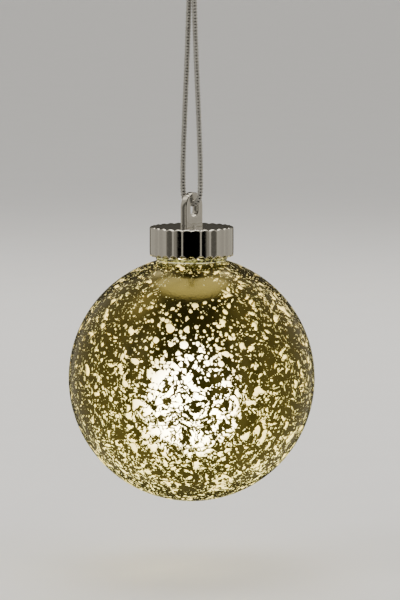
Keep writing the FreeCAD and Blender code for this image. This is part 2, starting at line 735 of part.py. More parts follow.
def make_cord():
    """The braided cord as a plain tube, its knot and its two ends."""
    path = rounded_path(cord_route())
    radius = size("cord_radius")
    start = path.Edges[0].firstVertex().Point
    section = Part.Wire(Part.Circle(start, path.Edges[0].tangentAt(0), radius).toShape())
    tube = doc.addObject("Part::Feature", "cord_tube")
    tube.Shape = path.makePipeShell([section], True, False)
    tube.Placement = Placement()
    expected = math.pi * radius**2 * path.Length
    print(f"cord is {path.Length:.1f} long, volume {tube.Shape.Volume:.1f} of {expected:.1f}")
    if abs(tube.Shape.Volume / expected - 1) > 0.01:
        raise ValueError("the cord's volume is not its section times its length")
    sub_part(tube, "cord")

    knot = primitive(
        "Ellipsoid",
        "knot",
        {
            "Radius1": "dims.knot_half_height",
            "Radius2": "dims.knot_half_width",
            "Radius3": "dims.knot_half_width",
        },
    )
    sub_part(knot, "cord_knot")
    for side, lean in (("front", 1), ("back", -1)):
        tail = cylinder(f"tail_{side}", "dims.cord_radius", "dims.tail_length")
        turn = Rotation(Vector(1, 0, 0), lean * size("tail_lean"))
        tail.Placement = Placement(Vector(0, 0, 0), turn)
        place(tail, y=f"{-lean} * (dims.cord_radius + dims.fit_gap)", z="dims.knot_half_height - 1")
        sub_part(tail, f"cord_end_{side}")


make_cord()
make_hanging_eye()
make_eye_clip()
make_cap()
make_seal_washer()
make_glass_ball()
make_neck_collar()
make_battery_box()
make_box_lid()
make_lid_screws()
make_coin_cell()
make_contact_strip()
make_contact_spring()
make_circuit_board()
make_board_parts()
make_switch()
make_lamp()

doc.recompute()
for item in doc.Objects:
    if any(state in ("Invalid", "Error") for state in item.State):
        raise ValueError(f"{item.Name} is {item.State}")
for node in nodes:
    if node.Shape.isNull() or not node.Shape.isValid() or not node.Shape.Solids:
        raise ValueError(f"{node.Label} has no valid solid")
for node in nodes:
    node.Shape.exportStep(f"parts/{node.Label}.step")
    bounds = node.Shape.BoundBox
    print(
        f"{node.Label:16s} {len(node.Shape.Solids)} solid  {node.Shape.Volume:9.1f} mm3"
        f"  z {bounds.ZMin:8.2f} to {bounds.ZMax:8.2f}  x {bounds.XMin:6.2f} to {bounds.XMax:6.2f}"
    )
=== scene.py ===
import functools
import json
import math

import bmesh
import bpy
from mathutils import Matrix, Vector
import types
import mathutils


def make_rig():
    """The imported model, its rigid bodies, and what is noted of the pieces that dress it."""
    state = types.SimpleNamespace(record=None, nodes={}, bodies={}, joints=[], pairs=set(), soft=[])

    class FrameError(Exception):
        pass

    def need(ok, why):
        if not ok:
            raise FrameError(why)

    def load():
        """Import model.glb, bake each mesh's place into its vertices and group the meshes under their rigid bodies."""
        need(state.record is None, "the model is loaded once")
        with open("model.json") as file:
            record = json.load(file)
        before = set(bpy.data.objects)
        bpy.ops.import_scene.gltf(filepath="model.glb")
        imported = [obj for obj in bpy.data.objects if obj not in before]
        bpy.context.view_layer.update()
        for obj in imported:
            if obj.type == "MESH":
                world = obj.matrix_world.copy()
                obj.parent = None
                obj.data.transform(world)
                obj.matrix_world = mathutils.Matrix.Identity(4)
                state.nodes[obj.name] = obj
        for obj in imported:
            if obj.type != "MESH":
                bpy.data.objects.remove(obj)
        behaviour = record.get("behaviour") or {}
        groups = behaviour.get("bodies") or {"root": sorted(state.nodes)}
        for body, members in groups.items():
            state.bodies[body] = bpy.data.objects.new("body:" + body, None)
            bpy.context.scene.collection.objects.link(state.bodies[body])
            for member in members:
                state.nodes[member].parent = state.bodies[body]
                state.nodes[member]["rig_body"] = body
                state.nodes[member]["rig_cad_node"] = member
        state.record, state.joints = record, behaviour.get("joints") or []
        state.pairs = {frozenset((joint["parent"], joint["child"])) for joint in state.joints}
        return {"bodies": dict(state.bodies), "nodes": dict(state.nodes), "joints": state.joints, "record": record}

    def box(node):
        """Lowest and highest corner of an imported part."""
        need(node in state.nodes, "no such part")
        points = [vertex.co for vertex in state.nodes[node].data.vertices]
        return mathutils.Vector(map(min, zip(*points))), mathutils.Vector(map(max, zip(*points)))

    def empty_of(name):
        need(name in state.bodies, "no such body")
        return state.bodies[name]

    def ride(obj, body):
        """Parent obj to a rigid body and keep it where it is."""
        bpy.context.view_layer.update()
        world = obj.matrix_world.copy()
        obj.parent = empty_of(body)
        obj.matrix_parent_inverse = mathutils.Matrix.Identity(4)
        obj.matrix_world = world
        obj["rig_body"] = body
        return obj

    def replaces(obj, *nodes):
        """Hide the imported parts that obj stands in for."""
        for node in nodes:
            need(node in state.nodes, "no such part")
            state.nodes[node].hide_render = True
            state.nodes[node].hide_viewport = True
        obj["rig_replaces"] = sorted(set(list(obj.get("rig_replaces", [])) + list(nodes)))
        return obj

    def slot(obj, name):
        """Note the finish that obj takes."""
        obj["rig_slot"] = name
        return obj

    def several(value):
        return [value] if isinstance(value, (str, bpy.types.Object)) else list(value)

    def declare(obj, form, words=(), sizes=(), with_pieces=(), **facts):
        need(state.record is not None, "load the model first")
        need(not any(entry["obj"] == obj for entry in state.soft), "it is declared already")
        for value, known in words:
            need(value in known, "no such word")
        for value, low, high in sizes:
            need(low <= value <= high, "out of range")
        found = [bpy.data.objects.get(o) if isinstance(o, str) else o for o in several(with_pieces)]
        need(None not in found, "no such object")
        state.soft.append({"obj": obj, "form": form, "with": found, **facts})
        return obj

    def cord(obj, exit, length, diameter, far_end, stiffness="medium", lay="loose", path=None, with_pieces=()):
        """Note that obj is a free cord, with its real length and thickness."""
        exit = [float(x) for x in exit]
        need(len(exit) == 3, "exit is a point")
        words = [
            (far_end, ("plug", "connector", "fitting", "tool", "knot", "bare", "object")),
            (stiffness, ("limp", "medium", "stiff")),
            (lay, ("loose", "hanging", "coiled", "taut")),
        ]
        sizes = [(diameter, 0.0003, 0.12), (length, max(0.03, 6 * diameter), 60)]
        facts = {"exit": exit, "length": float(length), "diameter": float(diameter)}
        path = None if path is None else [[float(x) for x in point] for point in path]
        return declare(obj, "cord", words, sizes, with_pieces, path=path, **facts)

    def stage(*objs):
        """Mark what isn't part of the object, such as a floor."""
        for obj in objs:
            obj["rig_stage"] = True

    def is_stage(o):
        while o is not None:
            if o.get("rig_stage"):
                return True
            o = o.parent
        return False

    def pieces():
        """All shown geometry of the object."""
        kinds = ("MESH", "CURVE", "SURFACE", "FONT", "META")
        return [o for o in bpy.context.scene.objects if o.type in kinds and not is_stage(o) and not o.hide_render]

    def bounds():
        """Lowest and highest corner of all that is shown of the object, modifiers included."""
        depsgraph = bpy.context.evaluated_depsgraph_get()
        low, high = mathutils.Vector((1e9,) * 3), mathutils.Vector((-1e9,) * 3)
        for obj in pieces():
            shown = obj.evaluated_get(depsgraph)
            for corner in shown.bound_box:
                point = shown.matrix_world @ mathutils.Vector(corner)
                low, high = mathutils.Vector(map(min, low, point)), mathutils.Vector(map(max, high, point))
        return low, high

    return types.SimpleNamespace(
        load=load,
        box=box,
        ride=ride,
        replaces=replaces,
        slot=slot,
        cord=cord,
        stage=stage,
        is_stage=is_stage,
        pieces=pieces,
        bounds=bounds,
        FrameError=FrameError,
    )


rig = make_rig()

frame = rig.load()
cad_low, cad_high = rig.bounds()

# Sizes are in metres, in the axes of the frame: +Z up, the origin in the knot of the cord, X along the
# width of the hanging eye and Y through its slot.
MM = 0.001
NODES = frame["nodes"]


def low(node):
    """The low corner of a CAD node's box."""
    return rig.box(node)[0]


def high(node):
    """The high corner of a CAD node's box."""
    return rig.box(node)[1]


# ---------------------------------------------------------------------------------------------
# Places from the frame, and sizes of the pieces

# The ball, its neck, and the fold where they meet.
BALL_RADIUS = (high("glass_ball").x - low("glass_ball").x) / 2
BALL_Z = low("glass_ball").z + BALL_RADIUS
RIM_Z = high("glass_ball").z
NECK_RADIUS = 14.4 * MM
NECK_WALL = 1.25 * MM
BALL_WALL = 1.0 * MM
NECK_PINCH = 13.75 * MM
FOLD_Z = math.sqrt(BALL_RADIUS ** 2 - NECK_PINCH ** 2)

CAP_TOP = high("cap_shell").z
CAP_FOOT = low("cap_shell").z
CAP_RADIUS = 17.0 * MM
CAP_BORE = 15.5 * MM
CAP_ROOF = 1.4 * MM
CAP_DISH = 0.38 * MM
RIB_OUT = 14.9 * MM
RIB_IN = 13.2 * MM
RIB_HEIGHT = 1.7 * MM
FLUTES = 28

EYE_TOP = high("hanging_eye").z
EYE_FOOT = CAP_TOP
EYE_HALF_WIDTH = 6.25 * MM
EYE_THICKNESS = 3.0 * MM
EYE_ROUNDING = 0.5 * MM
EYE_BAR = 3.2 * MM
SLOT_HALF_WIDTH = 2.8 * MM
SLOT_SILL = 3.8 * MM
STUD_RADIUS = 2.0 * MM
STUD_CHAMFER = 0.3 * MM

THREAD_PITCH = 3.0 * MM
THREAD_DEPTH = 0.45 * MM

CORD_RADIUS = 1.15 * MM
KNOT_HALF = 4.0 * MM
TAIL_LEAN = math.radians(14)
TAIL_LENGTH = 8.6 * MM

# The side that is looked at: a turn about Z from -Y.
VIEW_AZIMUTH = math.radians(-4.5 * 360 / FLUTES)


# ---------------------------------------------------------------------------------------------
# Mesh helpers


def add_piece(name, mesh, merge=0.0):
    """An object with smooth faces that look outwards. Vertices closer than merge become one."""
    work = bmesh.new()
    work.from_mesh(mesh)
    if merge:
        bmesh.ops.remove_doubles(work, verts=work.verts, dist=merge)
    bmesh.ops.recalc_face_normals(work, faces=work.faces)
    work.to_mesh(mesh)
    work.free()
    for polygon in mesh.polygons:
        polygon.use_smooth = True
    piece = bpy.data.objects.new(name, mesh)
    bpy.context.scene.collection.objects.link(piece)
    return piece


def mesh_object(name, vertices, faces):
    mesh = bpy.data.meshes.new(name)
    mesh.from_pydata([tuple(v) for v in vertices], [], faces)
    mesh.validate()
    mesh.update()
    return add_piece(name, mesh)


def polar(radius, angle, z):
    return Vector((radius * math.cos(angle), radius * math.sin(angle), z))


def turn_share(i, count):
    """The angle of one of a number of even steps round a circle."""
    return 2 * math.pi * i / count


def ring_faces(rings, segments, closed=False):
    """Faces between rings of vertices that follow each other. Closed: the last meets the first."""
    faces = []
    for k in range(rings if closed else rings - 1):
        m = (k + 1) % rings
        for i in range(segments):
            j = (i + 1) % segments
            faces.append((k * segments + i, k * segments + j, m * segments + j, m * segments + i))
    return faces


def revolve(name, profile, segments):
    """A solid of revolution about Z, from a profile that starts and ends on the axis."""
    vertices, faces, rows = [], [], []
    for radius, z in profile:
        start = len(vertices)
        if radius <= 1e-9:
            rows.append([start] * segments)
            vertices.append(Vector((0, 0, z)))
            continue
        vertices.extend(polar(radius, turn_share(i, segments), z) for i in range(segments))
        rows.append(list(range(start, start + segments)))
    for first, second in zip(rows, rows[1:]):
        for i in range(segments):
            j = (i + 1) % segments
            loop = [first[i], first[j], second[j], second[i]]
            faces.append(list(dict.fromkeys(loop)))
    return mesh_object(name, vertices, [f for f in faces if len(f) > 2])


def arc(cx, cz, radius, start, stop, steps):
    """Points of an arc in a profile, angles in degrees, the last point included."""
    points = []
    for i in range(steps + 1):
        angle = math.radians(start + (stop - start) * i / steps)
        points.append((cx + radius * math.cos(angle), cz + radius * math.sin(angle)))
    return points


def smooth_by_angle(piece, degrees=35):
    """Smooth shading with sharp edges kept where faces meet at more than an angle."""
    piece.data.set_sharp_from_angle(angle=math.radians(degrees))


def tube(path, radius, sides):
    """Vertices and faces of a closed tube along a path."""
    vertices = []
    normal = None
    for i, point in enumerate(path):
        tangent = (path[min(i + 1, len(path) - 1)] - path[max(i - 1, 0)]).normalized()
        if normal is None:
            normal = tangent.orthogonal().normalized()
        normal = (normal - tangent * normal.dot(tangent)).normalized()
        side = tangent.cross(normal)
        for k in range(sides):
            angle = turn_share(k, sides)
            vertices.append(point + (normal * math.cos(angle) + side * math.sin(angle)) * radius)
    faces = ring_faces(len(path), sides)
    faces.append(tuple(range(sides)))
    faces.append(tuple(range(len(vertices) - sides, len(vertices))))
    return vertices, faces


def mesh_from_curve(curve):
    """The mesh that a curve makes. The curve is removed."""
    holder = bpy.data.objects.new(curve.name, curve)
    bpy.context.scene.collection.objects.link(holder)
    graph = bpy.context.evaluated_depsgraph_get()
    mesh = bpy.data.meshes.new_from_object(holder.evaluated_get(graph))
    bpy.data.objects.remove(holder)
    bpy.data.curves.remove(curve)
    return mesh


def smooth_line(points, steps=24):
    """The points of a smooth line that a few control points pull along."""
    curve = bpy.data.curves.new("line", "CURVE")
    curve.dimensions = "3D"
    curve.resolution_u = steps
    spline = curve.splines.new("NURBS")
    spline.points.add(len(points) - 1)
    for point, place in zip(spline.points, points):
        point.co = (*place, 1.0)
    spline.order_u = 3
    spline.use_endpoint_u = True
    mesh = mesh_from_curve(curve)
    line = [vertex.co.copy() for vertex in mesh.vertices]
    bpy.data.meshes.remove(mesh)
    return line


def join_parts(name, parts):
    """One mesh from several lists of vertices, faces and each vertex's rise out of the crease."""
    vertices, faces, rises = [], [], []
    for part_vertices, part_faces, part_rises in parts:
        start = len(vertices)
        vertices.extend(part_vertices)
        rises.extend(part_rises)
        faces.extend(tuple(start + i for i in face) for face in part_faces)
    piece = mesh_object(name, vertices, faces)
    layer = piece.data.attributes.new("rise", "FLOAT", "POINT")
    layer.data.foreach_set("value", rises)
    return piece


# ---------------------------------------------------------------------------------------------
# Material helpers


class Tree:
    """A node tree, built by short calls."""

    def __init__(self, tree):
        self.tree = tree
        tree.nodes.clear()

    def node(self, kind, **settings):
        made = self.tree.nodes.new(f"ShaderNode{kind}")
        for key, value in settings.items():
            setattr(made, key, value)
        return made

    def feed(self, socket, value):
        if isinstance(value, bpy.types.NodeSocket):
            self.tree.links.new(value, socket)
        else:
            socket.default_value = value

    def math(self, operation, *values):
        made = self.node("Math", operation=operation)
        for socket, value in zip(made.inputs, values):
            self.feed(socket, value)
        return made.outputs[0]

    def total(self, *values):
        """The sum of some values."""
        return functools.reduce(lambda a, b: self.math("ADD", a, b), values)

    def product(self, *values):
        return functools.reduce(lambda a, b: self.math("MULTIPLY", a, b), values)

    def minus(self, a, b):
        return self.math("SUBTRACT", a, b)

    def absolute(self, value):
        return self.math("ABSOLUTE", value)

    def vector(self, operation, a, b=(0.0, 0.0, 0.0)):
        made = self.node("VectorMath", operation=operation)
        self.feed(made.inputs[0], a)
        self.feed(made.inputs["Scale" if operation == "SCALE" else 1], b)
        return made.outputs["Value" if operation == "LENGTH" else "Vector"]

    def distance(self, a, b):
        return self.vector("LENGTH", self.vector("SUBTRACT", a, b))

    def axes(self, vector):
        """The X, Y and Z of a vector."""
        made = self.node("SeparateXYZ")
        self.feed(made.inputs[0], vector)
        return made.outputs

    def place(self):
        """The place that is shaded, in the object's own axes."""
        return self.node("TexCoord").outputs["Object"]

    def noise(self, vector, scale, detail=2.0, roughness=0.5, distortion=0.0, output="Fac"):
        made = self.node("TexNoise")
        self.feed(made.inputs["Vector"], vector)
        made.inputs["Scale"].default_value = scale
        made.inputs["Detail"].default_value = detail
        made.inputs["Roughness"].default_value = roughness
        made.inputs["Distortion"].default_value = distortion
        return made.outputs[output]

    def flecks(self, vector, scale):
        """Distances and colours of scattered points that flow together where they are close."""
        made = self.node("TexVoronoi", feature="SMOOTH_F1")
        self.feed(made.inputs["Vector"], vector)
        made.inputs["Scale"].default_value = scale
        made.inputs["Smoothness"].default_value = 0.22
        return made

    def span(self, value, low_in, high_in, low_out=0.0, high_out=1.0):
        made = self.node("MapRange", interpolation_type="SMOOTHSTEP")
        self.feed(made.inputs["Value"], value)
        for socket, number in zip(("From Min", "From Max", "To Min", "To Max"),
                                  (low_in, high_in, low_out, high_out)):
            self.feed(made.inputs[socket], number)
        return made.outputs["Result"]

    def window(self, value, start, stop, soft):
        """1 between two values and 0 outside them, with soft edges."""
        return self.minus(self.span(value, start - soft, start + soft),
                          self.span(value, stop - soft, stop + soft))

    def mix(self, factor, a, b, kind="RGBA"):
        made = self.node("Mix", data_type=kind)
        self.feed(made.inputs["Factor"], factor)
        self.feed(made.inputs["A"], a)
        self.feed(made.inputs["B"], b)
        return made.outputs["Result"]

    def blend(self, factor, a, b):
        return self.mix(factor, a, b, kind="FLOAT")

    def bump(self, height, strength, distance):
        made = self.node("Bump")
        self.feed(made.inputs["Height"], height)
        made.inputs["Strength"].default_value = strength
        made.inputs["Distance"].default_value = distance
        return made.outputs["Normal"]


class MaterialTree(Tree):
    """The node tree of a new material."""

    def __init__(self, name):
        self.material = bpy.data.materials.new(name)
        self.material.use_nodes = True
        super().__init__(self.material.node_tree)

    def principled(self, **inputs):
        """The material, with one principled surface. Spaces in socket names are underscores."""
        surface = self.node("BsdfPrincipled")
        for key, value in inputs.items():
            self.feed(surface.inputs[key.replace("_", " ")], value)
        self.feed(self.node("OutputMaterial").inputs["Surface"], surface.outputs[0])
        return self.material


def rgb(red, green, blue):
    return (red, green, blue, 1.0)


def set_material(piece, *materials):
    piece.data.materials.clear()
    for material in materials:
        piece.data.materials.append(material)


# ---------------------------------------------------------------------------------------------
# Materials


def turned(tree, vector):
    """A place with the hanging direction kept and Y turned to face the side that is looked at."""
    made = tree.node("VectorRotate", rotation_type="Z_AXIS")
    tree.feed(made.inputs["Vector"], vector)
    made.inputs["Angle"].default_value = -VIEW_AZIMUTH
    return made.outputs[0]


def on_ball(latitude, x=0.0):
    """A place on the ball's front, at a height in degrees over its middle."""
    angle = math.radians(latitude)
    return (x, -BALL_RADIUS * math.cos(angle), BALL_RADIUS * math.sin(angle))


# Middle of a patch high on the ball where the coat is whole, and how much flatter than round it is.
PATCH = on_ball(52.5)
PATCH_FLATNESS = (1.0, 1.0, 2.4)
# Middle of the part where the flecks are round dots, and not drawn out.
DOTS = on_ball(30)
# Middle of a painted hot spot on the ball's front, where the clear flecks run together so that their glow paints the
# lamp's bright light.
PAINTED_HOT_SPOT = on_ball(-9, -2.8 * MM)
# Noises that draw the flecks out: cells per metre, detail, and the longest shift in metres.
DRAWS = (
    (420.0, 2.0, 0.0038),
    (130.0, 1.0, 0.010),
)
# Layers of clear flecks in the coat: cells per metre, then the least and the greatest reach in a cell.
FLECKS = (
    (300.0, -0.02, 0.56),
    (540.0, -0.04, 0.56),
    (980.0, -0.12, 0.55),
)
# Few cells have a great reach: the power that their even draw is raised to.
REACH_POWER = 1.6


def speckle_mask(tree):
    """1 where the mirror coat is left, 0 in its clear flecks, the same on both skins of the wall."""
    centred = tree.vector("SUBTRACT", tree.place(), (0.0, 0.0, BALL_Z))
    skin = tree.vector("SCALE", tree.vector("NORMALIZE", centred), BALL_RADIUS)
    facing = turned(tree, skin)

    drawn = tree.span(tree.distance(facing, DOTS), 0.012, 0.034, 0.15, 1.0)
    warped = skin
    for scale, detail, longest in DRAWS:
        noise = tree.noise(skin, scale, detail, output="Color")
        shift = tree.vector("SUBTRACT", noise, (0.5, 0.5, 0.5))
        warped = tree.vector("ADD", warped, tree.vector("SCALE", shift, tree.product(drawn, longest)))

    wander = tree.span(tree.noise(skin, 45.0), 0.3, 0.7, -0.06, 0.06)
    height = tree.span(tree.axes(skin)["Z"], -0.03, 0.045, -0.014, -0.06)
    # painted hot spot: more of the glowing clear flecks on the front, in front of the lamp
    painted_hot_spot = tree.span(tree.distance(facing, PAINTED_HOT_SPOT), 0.012, 0.030, 0.15, 0.0)
    # painted shade: fewer of the glowing flecks towards the ball's two sides as it is looked at
    sides = tree.span(tree.absolute(tree.axes(facing)["X"]), 0.030, 0.047, 0.0, -0.05)
    from_patch = tree.vector("MULTIPLY", tree.vector("SUBTRACT", facing, PATCH), PATCH_FLATNESS)
    patch = tree.span(tree.vector("LENGTH", from_patch), 0.009, 0.0145, 0.32, 0.0)
    density = tree.minus(tree.total(wander, height, painted_hot_spot, sides), patch)

    clear = []
    for scale, least, greatest in FLECKS:
        cells = tree.flecks(warped, scale)
        draw = tree.math("POWER", tree.axes(cells.outputs["Color"])["X"], REACH_POWER)
        reach = tree.total(tree.blend(draw, least, greatest), density)
        clear.append(tree.math("DIVIDE", tree.minus(reach, cells.outputs["Distance"]), scale))
    clear = functools.reduce(lambda a, b: tree.math("MAXIMUM", a, b), clear)
    return tree.span(clear, -0.00004, 0.00006, 1.0, 0.0), skin


def painted_glow_sides(tree, edge):
    """How much painted glow the flecks and the inner coat take: 1 over the front and the back of the ball, and less
    towards its two sides.
    """
    aside = tree.absolute(tree.axes(turned(tree, tree.place()))["X"])
    return tree.span(aside, 0.030, 0.048, 1.0, edge)


def height_above_ball(tree):
    return tree.minus(tree.axes(tree.place())["Z"], BALL_Z)


def mercury_glass():
    """Outer skin: clear gloss over a dark gold mirror coat with clear flecks that the lamp shines through, and a
    painted glow in the flecks, stronger low on the ball and weaker towards its sides.
    """
    tree = MaterialTree("mercury_glass")
    coat, skin = speckle_mask(tree)
    mottle = tree.noise(skin, 130.0, 3.0, 0.6)
    gold = tree.mix(mottle, rgb(0.078, 0.063, 0.011), rgb(0.190, 0.155, 0.034))
    cream = rgb(0.93, 0.87, 0.6)
    # painted glow in the flecks: stronger low on the ball, weaker towards its sides
    painted_glow_below = tree.span(height_above_ball(tree), -0.03, 0.02, 0.4, 0.12)
    painted_fleck_glow = tree.product(painted_glow_below, painted_glow_sides(tree, 0.4))
    return tree.principled(
        Base_Color=tree.mix(coat, cream, gold),
        Metallic=tree.product(coat, 0.945),
        Roughness=tree.blend(coat, 0.42, tree.span(mottle, 0.3, 0.7, 0.12, 0.22)),
        IOR=1.45,
        Transmission_Weight=1.0,
        Coat_Weight=0.12,
        Coat_Roughness=0.03,
        Emission_Color=rgb(1.0, 0.93, 0.45),
        Emission_Strength=tree.blend(coat, painted_fleck_glow, 0.0),
        Normal=tree.bump(tree.noise(skin, 900.0, 2.0), 0.2, 0.0002),
    )


def coat_inside():
    """Inner skin: the back of the coat, pale gold, open in the flecks, with a painted glow that stands in for the
    lamp's light, stronger low on the ball and weaker towards its sides.
    """
    tree = MaterialTree("coat_inside")
    coat, _ = speckle_mask(tree)
    # painted glow in place of the lamp's light on the back of the coat
    painted_inner_glow = tree.span(height_above_ball(tree), -0.03, 0.04, 2.5, 0.62)
    return tree.principled(
        Base_Color=rgb(0.7, 0.58, 0.3),
        Metallic=0.3,
        Roughness=0.5,
        Alpha=coat,
        Emission_Color=rgb(1.0, 0.935, 0.31),
        Emission_Strength=tree.product(painted_inner_glow, painted_glow_sides(tree, 0.5)),
    )


# Painted highlights along folds in the glass at the neck's foot: height over the joint with the ball, and strength.
FOLD_HIGHLIGHTS = ((0.2 * MM, 1.5), (1.45 * MM, 0.6))


def clear_neck():
    """Tinted glass of the neck, uneven, with thin rests of the coat, a painted glow that stands in for light from
    inside, and painted highlights along the folds at its foot.
    """
    tree = MaterialTree("clear_neck")
    place = tree.place()
    # rests of the coat in the base colour, and a painted glow in the emission
    glow = tree.span(tree.noise(place, 700.0, 2.0, 0.5, 0.6), 0.45, 0.58)
    # painted highlights: thin bright lines along the folds, broken up by a noise
    fold_highlights = 0.0
    for rise, strength in FOLD_HIGHLIGHTS:
        away = tree.absolute(tree.minus(height_above_ball(tree), FOLD_Z + rise))
        fold_highlights = tree.total(fold_highlights, tree.span(away, 0.04 * MM, 0.17 * MM, strength, 0.0))
    fold_highlights = tree.product(fold_highlights, tree.span(tree.noise(place, 260.0, 1.0), 0.38, 0.55, 0.25, 1.0))
    return tree.principled(
        Base_Color=tree.mix(glow, rgb(0.05, 0.042, 0.006), rgb(0.40, 0.38, 0.08)),
        Roughness=0.06,
        Specular_IOR_Level=0.9,
        Coat_Weight=0.6,
        Coat_Roughness=0.03,
        Emission_Color=tree.mix(fold_highlights, rgb(0.95, 0.9, 0.28), rgb(1.0, 0.95, 0.66)),
        Emission_Strength=tree.total(tree.blend(glow, 0.01, 0.3), fold_highlights),
        Normal=tree.bump(tree.noise(place, 420.0, 2.0), 0.8, 0.0008),
    )


def chrome_plate():
    """Bright plated plastic, with a faint haze."""
    tree = MaterialTree("chrome_plate")
    haze = tree.noise(tree.place(), 900.0, 3.0)
    return tree.principled(
        Base_Color=tree.mix(haze, rgb(0.72, 0.71, 0.69), rgb(0.82, 0.81, 0.79)),
        Metallic=1.0,
        Roughness=tree.span(haze, 0.3, 0.7, 0.04, 0.09),
    )


def metallic_cord():
    """Silver metallic yarn, with painted shade: near black and not metallic in the crease between the strands and on
    the core, silver on the strands' backs.
    """
    tree = MaterialTree("metallic_cord")
    fibres = tree.noise(tree.place(), 2600.0, 3.0, 0.7)
    rise = tree.node("Attribute", attribute_name="rise").outputs["Fac"]
    silver = tree.mix(tree.span(fibres, 0.3, 0.7), rgb(0.22, 0.21, 0.185), rgb(0.68, 0.66, 0.61))
    return tree.principled(
        # painted shade: the lower a point's rise out of the crease, the darker
        Base_Color=tree.mix(tree.span(rise, 0.52, 0.92), rgb(0.005, 0.004, 0.004), silver),
        Metallic=tree.span(rise, 0.5, 0.7, 0.0, 0.5),
        Roughness=tree.span(fibres, 0.3, 0.7, 0.24, 0.42),
        Normal=tree.bump(fibres, 0.5, 0.0001),
    )


def frosted_globe():
    """The globe round the lamp, glowing evenly."""
    tree = MaterialTree("frosted_globe")
    grain = tree.noise(tree.place(), 1500.0, 2.0)
    return tree.principled(
        Base_Color=rgb(0.98, 0.94, 0.84),
        Roughness=tree.span(grain, 0.3, 0.7, 0.5, 0.7),
        Emission_Color=rgb(1.0, 0.93, 0.76),
        Emission_Strength=20.0,
    )


def plastic(name, dark, light, roughness):
    """Moulded plastic or rubber with a fine grain."""
    tree = MaterialTree(name)
    grain = tree.noise(tree.place(), 1800.0, 3.0)
    return tree.principled(
        Base_Color=tree.mix(grain, rgb(*dark), rgb(*light)),
        Roughness=tree.span(grain, 0.3, 0.7, roughness - 0.06, roughness + 0.06),
        Normal=tree.bump(grain, 0.15, 0.0001),
    )


def metal(name, dark, light, roughness, stretch=(1.0, 1.0, 12.0)):
    """Sheet or turned metal with fine brushing."""
    tree = MaterialTree(name)
    brushed = tree.vector("MULTIPLY", tree.place(), stretch)
    grain = tree.noise(brushed, 2200.0, 3.0)
    return tree.principled(
        Base_Color=tree.mix(grain, rgb(*dark), rgb(*light)),
        Metallic=1.0,
        Roughness=tree.span(grain, 0.3, 0.7, roughness - 0.07, roughness + 0.07),
    )


CHROME = chrome_plate()
CORD = metallic_cord()
STEEL = metal("nickel_steel", (0.5, 0.49, 0.46), (0.68, 0.67, 0.64), 0.28)
RUBBER = plastic("black_rubber", (0.012, 0.012, 0.012), (0.03, 0.03, 0.03), 0.7)
BLACK = plastic("black_plastic", (0.015, 0.015, 0.016), (0.035, 0.035, 0.036), 0.4)
WHITE = plastic("white_plastic", (0.72, 0.71, 0.68), (0.84, 0.83, 0.8), 0.3)

CARRIED = {
    "eye_clip": STEEL,
    "seal_washer": RUBBER,
    "battery_box": BLACK,
    "box_lid": BLACK,
    "lid_screws": metal("screw_zinc", (0.42, 0.42, 0.43), (0.6, 0.6, 0.6), 0.3),
    "coin_cell": metal("cell_can", (0.55, 0.55, 0.54), (0.72, 0.72, 0.7), 0.22, (1.0, 1.0, 1.0)),
    "contact_strip": STEEL,
    "contact_spring": STEEL,
    "circuit_board": plastic("board_mask", (0.01, 0.09, 0.035), (0.02, 0.15, 0.06), 0.35),
    "timer_chip": BLACK,
    "resistor": plastic("resistor_body", (0.01, 0.01, 0.02), (0.04, 0.04, 0.05), 0.5),
    "switch_body": metal("switch_can", (0.45, 0.45, 0.45), (0.62, 0.62, 0.62), 0.3),
    "switch_knob": WHITE,
    "lamp_stem": WHITE,
    "lamp_leads": metal("tinned_wire", (0.55, 0.53, 0.5), (0.72, 0.7, 0.66), 0.25),
    "lamp_led": plastic("lamp_lens", (0.85, 0.8, 0.62), (0.95, 0.9, 0.75), 0.15),
    "diffuser": frosted_globe(),
}
for node, material in CARRIED.items():
    set_material(NODES[node], material)


# ---------------------------------------------------------------------------------------------
# Glass ball


def make_ball():
    """The blown ball: outer skin up to the neck's fold, the neck, its rim, and the inner skin."""
    join = math.degrees(math.acos(NECK_PINCH / BALL_RADIUS))
    rim = RIM_Z - BALL_Z
    inner = BALL_RADIUS - BALL_WALL
    bore = NECK_RADIUS - NECK_WALL
    inner_join = math.degrees(math.acos(bore / inner))
    lip = NECK_WALL / 2

    neck_foot = FOLD_Z + 2.0 * MM

    profile = arc(0, 0, BALL_RADIUS, -90, join - 0.3, 110)
    profile += [(NECK_PINCH - 0.02 * MM, FOLD_Z + 0.05 * MM), (NECK_PINCH, FOLD_Z + 0.12 * MM)]
    profile += arc(NECK_RADIUS - 0.93 * MM, FOLD_Z + 1.05 * MM, 1.0 * MM, -65, 35, 9)
    profile += [(NECK_RADIUS, neck_foot + (rim - lip - neck_foot) * k / 4) for k in range(5)]
    profile += arc(NECK_RADIUS - lip, rim - lip, lip, 0, 180, 8)[1:]
    profile += arc(0, 0, inner, inner_join, -90, 90)
    profile = [(max(x, 0.0), z + BALL_Z) for x, z in profile]
    piece = revolve("glass_ball_blown", profile, 180)
    set_material(piece, mercury_glass(), clear_neck(), coat_inside())
    neck_z = BALL_Z + FOLD_Z
    for polygon in piece.data.polygons:
        centre = polygon.center
        radius = (centre - Vector((0, 0, BALL_Z))).length
        if centre.z > neck_z:
            polygon.material_index = 1
        elif radius < BALL_RADIUS - BALL_WALL / 2:
            polygon.material_index = 2
    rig.ride(piece, "ball")
    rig.replaces(piece, "glass_ball")
    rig.slot(piece, "mercury_glass")


# ---------------------------------------------------------------------------------------------
# Cap

RIDGE_LAND = math.radians(2.1)
LAND_TURN = math.radians(5.0)
CREST = 0.36 * MM
SKIRT_RISE = 1.25 * MM
# The edge from the dish over the crest to the wall: in from the wall and down from the crest, in mm.
CREST_EDGE = ((0.95, 0.01), (0.82, 0.0), (0.70, 0.02), (0.18, 0.27), (0.05, 0.38), (0.0, 0.50), (0.0, 0.95))


